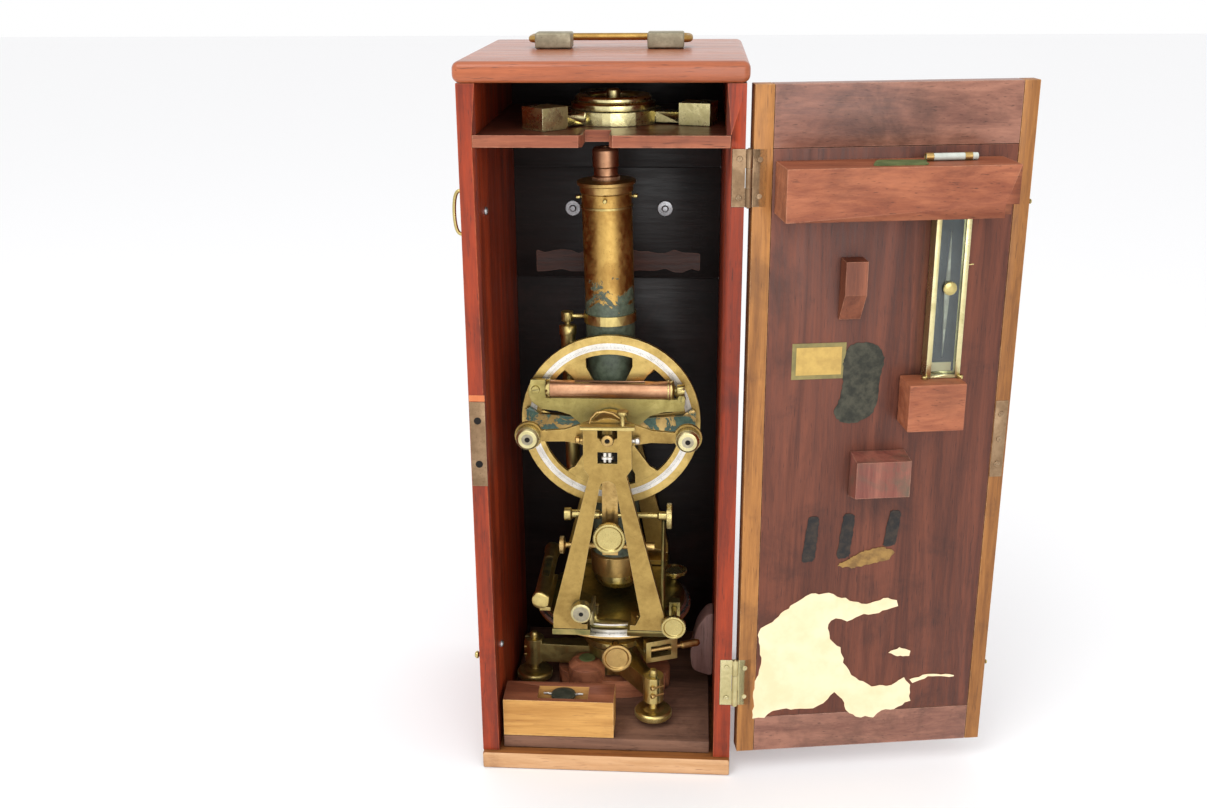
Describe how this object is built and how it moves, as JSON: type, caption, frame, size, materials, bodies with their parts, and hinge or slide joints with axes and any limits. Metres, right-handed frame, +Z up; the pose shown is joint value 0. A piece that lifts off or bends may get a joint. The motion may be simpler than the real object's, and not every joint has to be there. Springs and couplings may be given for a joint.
{
  "type": "cased transit theodolite",
  "caption": "Brass transit theodolite on a levelling base, standing on its sliding board in an open mahogany carrying case with a hinged door.",
  "frame": {"origin": "centre of the case's underside, on the ground", "axes": "+Z up, +Y from the door side into the case, +X to the right seen from the front"},
  "size_m": [0.3849, 0.2283, 0.5446],
  "materials": {
    "mahogany_red": "worn french polish",
    "mahogany_dark": "dark dry wood",
    "box_wood": "pale planed wood, unpolished",
    "aged_brass": "lacquered brass, tarnished olive",
    "rubbed_brass": "bright rubbed brass",
    "green_enamel": "dark green enamel worn through to brass",
    "copper_lacquer": "copper-brown lacquer",
    "silver_white": "silvered, dull",
    "clear_glass": "clear"
  },
  "bodies": {
    "case": {"case_base": "mahogany_red", "case_left_side": "mahogany_red", "case_right_side": "mahogany_red", "case_back": "mahogany_dark", "case_lid": "mahogany_red", "upper_shelf": "mahogany_red", "handle_post_left": "rubbed_brass", "handle_post_right": "rubbed_brass", "hinge_case_leaf_upper": "aged_brass", "hinge_case_leaf_lower": "aged_brass", "tripod_plate": "rubbed_brass"},
    "handle": {"carry_handle": "aged_brass"},
    "door": {"door_panel": "mahogany_red", "hinge_door_leaf_upper": "aged_brass", "hinge_door_leaf_lower": "aged_brass", "tool_rail": "mahogany_red", "wedge_block": "mahogany_dark", "compass_block": "mahogany_red", "pad_block": "mahogany_red", "compass_trough": "rubbed_brass", "compass_glass": "clear_glass"},
    "needle": {"compass_needle": "silver_white"},
    "needle_lifter": {"compass_knob": "aged_brass"},
    "lock_ring": {"tripod_lock_ring": "aged_brass"},
    "centre_screw": {"tripod_centre_screw": "aged_brass"},
    "board": {"instrument_board": "mahogany_dark", "seat_block": "mahogany_dark", "accessory_box": "box_wood", "tribrach": "aged_brass", "lower_tangent_frame": "aged_brass"},
    "foot_screw_front": {"foot_screw_1": "aged_brass"},
    "foot_screw_right": {"foot_screw_2": "aged_brass"},
    "foot_screw_left": {"foot_screw_3": "aged_brass"},
    "lower_clamp": {"lower_clamp_screw": "aged_brass"},
    "lower_tangent": {"lower_tangent_screw": "aged_brass"},
    "limb": {"limb_plate": "silver_white"},
    "alidade": {"vernier_plate": "aged_brass", "front_standard": "aged_brass", "rear_standard": "aged_brass", "bearing_cap": "aged_brass", "plate_level": "aged_brass", "index_frame": "green_enamel", "level_bracket": "aged_brass", "index_level": "copper_lacquer", "clamp_arm": "aged_brass"},
    "upper_clamp": {"upper_clamp_screw": "aged_brass"},
    "upper_tangent": {"upper_tangent_screw": "rubbed_brass"},
    "plate_lens": {"plate_magnifier": "rubbed_brass"},
    "lens_bar": {"magnifier_bar": "aged_brass"},
    "lens_left": {"circle_magnifier_left": "rubbed_brass"},
    "lens_right": {"circle_magnifier_right": "rubbed_brass"},
    "vertical_clamp": {"vertical_clamp_screw": "rubbed_brass"},
    "vertical_tangent": {"vertical_tangent_screw": "rubbed_brass"},
    "clip_screw": {"index_clip_screw": "aged_brass"},
    "telescope": {"trunnion_axis": "aged_brass", "vertical_circle": "aged_brass", "telescope_tube": "green_enamel", "telescope_level": "aged_brass"},
    "eye_end": {"eyepiece": "aged_brass"},
    "lens_cap": {"objective_cap": "rubbed_brass"}
  },
  "joints": [
    {"name": "handle_swing", "type": "hinge", "parent": "case", "child": "handle", "pos_m": [0, 0.006, 0.53965], "axis": [1, 0, 0], "range_deg": [0, 175]},
    {"name": "door_hinge", "type": "hinge", "parent": "case", "child": "door", "pos_m": [0.09766, -0.09685, 0], "axis": [0, 0, 1], "range_deg": [-189.04, 12]},
    {"name": "lock_ring_turn", "type": "hinge", "parent": "case", "child": "lock_ring", "pos_m": [0.004, -0.022, 0.5], "axis": [0, 0, 1], "continuous": true},
    {"name": "centre_screw_turn", "type": "hinge", "parent": "case", "child": "centre_screw", "pos_m": [0.004, -0.022, 0.5], "axis": [0, 0, 1], "continuous": true},
    {"name": "needle_swing", "type": "hinge", "parent": "door", "child": "needle", "pos_m": [0.23458, -0.08129, 0.37625], "axis": [0.1571, -0.9876, 0], "range_deg": [-8, 8]},
    {"name": "needle_lifter_turn", "type": "hinge", "parent": "door", "child": "needle_lifter", "pos_m": [0.23542, -0.08658, 0.38225], "axis": [0.1571, -0.9876, 0], "range_deg": [0, 90]},
    {"name": "board_slide", "type": "slide", "parent": "case", "child": "board", "axis": [0, -1, 0], "range_m": [0, 0.2]},
    {"name": "foot_screw_front_turn", "type": "hinge", "parent": "board", "child": "foot_screw_front", "pos_m": [0.03549, -0.06307, 0.04], "axis": [0, 0, 1], "continuous": true},
    {"name": "foot_screw_right_turn", "type": "hinge", "parent": "board", "child": "foot_screw_right", "pos_m": [0.0335, 0.05122, 0.04], "axis": [0, 0, 1], "continuous": true},
    {"name": "foot_screw_left_turn", "type": "hinge", "parent": "board", "child": "foot_screw_left", "pos_m": [-0.06449, -0.00765, 0.04], "axis": [0, 0, 1], "continuous": true},
    {"name": "lower_clamp_turn", "type": "hinge", "parent": "board", "child": "lower_clamp", "pos_m": [0.0015, -0.0065, 0.071], "axis": [0.1045, -0.9945, 0], "range_deg": [0, 180]},
    {"name": "lower_tangent_turn", "type": "hinge", "parent": "board", "child": "lower_tangent", "pos_m": [0.03746, -0.04212, 0.075], "axis": [0.9272, 0.3746, 0], "continuous": true},
    {"name": "limb_turn", "type": "hinge", "parent": "board", "child": "limb", "pos_m": [0.0015, -0.0065, 0.1], "axis": [0, 0, 1], "continuous": true},
    {"name": "azimuth", "type": "hinge", "parent": "board", "child": "alidade", "pos_m": [0.0015, -0.0065, 0.106], "axis": [0, 0, 1], "range_deg": [-8, 12]},
    {"name": "upper_clamp_turn", "type": "hinge", "parent": "alidade", "child": "upper_clamp", "pos_m": [0.05, 0.018, 0.1127], "axis": [0, 0, 1], "range_deg": [0, 180]},
    {"name": "upper_tangent_turn", "type": "hinge", "parent": "alidade", "child": "upper_tangent", "pos_m": [0.051, -0.0465, 0.1147], "axis": [0, -1, 0], "continuous": true},
    {"name": "plate_lens_swing", "type": "hinge", "parent": "alidade", "child": "plate_lens", "pos_m": [-0.0109, -0.0555, 0.112], "axis": [0, 0, 1], "range_deg": [0, 18]},
    {"name": "lens_bar_swing", "type": "hinge", "parent": "alidade", "child": "lens_bar", "pos_m": [0.0015, -0.0645, 0.263], "axis": [0, 1, 0], "range_deg": [-6, 6]},
    {"name": "lens_left_focus", "type": "slide", "parent": "lens_bar", "child": "lens_left", "axis": [0, -1, 0], "range_m": [0, 0.003]},
    {"name": "lens_right_focus", "type": "slide", "parent": "lens_bar", "child": "lens_right", "axis": [0, -1, 0], "range_m": [0, 0.003]},
    {"name": "vertical_clamp_turn", "type": "hinge", "parent": "alidade", "child": "vertical_clamp", "pos_m": [0.0015, -0.0565, 0.1795], "axis": [0, -1, 0], "range_deg": [0, 180]},
    {"name": "vertical_tangent_turn", "type": "hinge", "parent": "alidade", "child": "vertical_tangent", "pos_m": [0.0015, -0.0471, 0.1925], "axis": [1, 0, 0], "continuous": true},
    {"name": "clip_screw_turn", "type": "hinge", "parent": "alidade", "child": "clip_screw", "pos_m": [0.0015, -0.0471, 0.1665], "axis": [1, 0, 0], "continuous": true},
    {"name": "telescope_tilt", "type": "hinge", "parent": "alidade", "child": "telescope", "pos_m": [0.0015, -0.0065, 0.263], "axis": [0, 1, 0], "range_deg": [-18, 12]},
    {"name": "eyepiece_focus", "type": "slide", "parent": "telescope", "child": "eye_end", "axis": [-0.0227, 0, 0.9997], "range_m": [0, 0.006]},
    {"name": "cap_pull", "type": "slide", "parent": "telescope", "child": "lens_cap", "axis": [0.0227, 0, -0.9997], "range_m": [0, 0.005]}
  ]
}
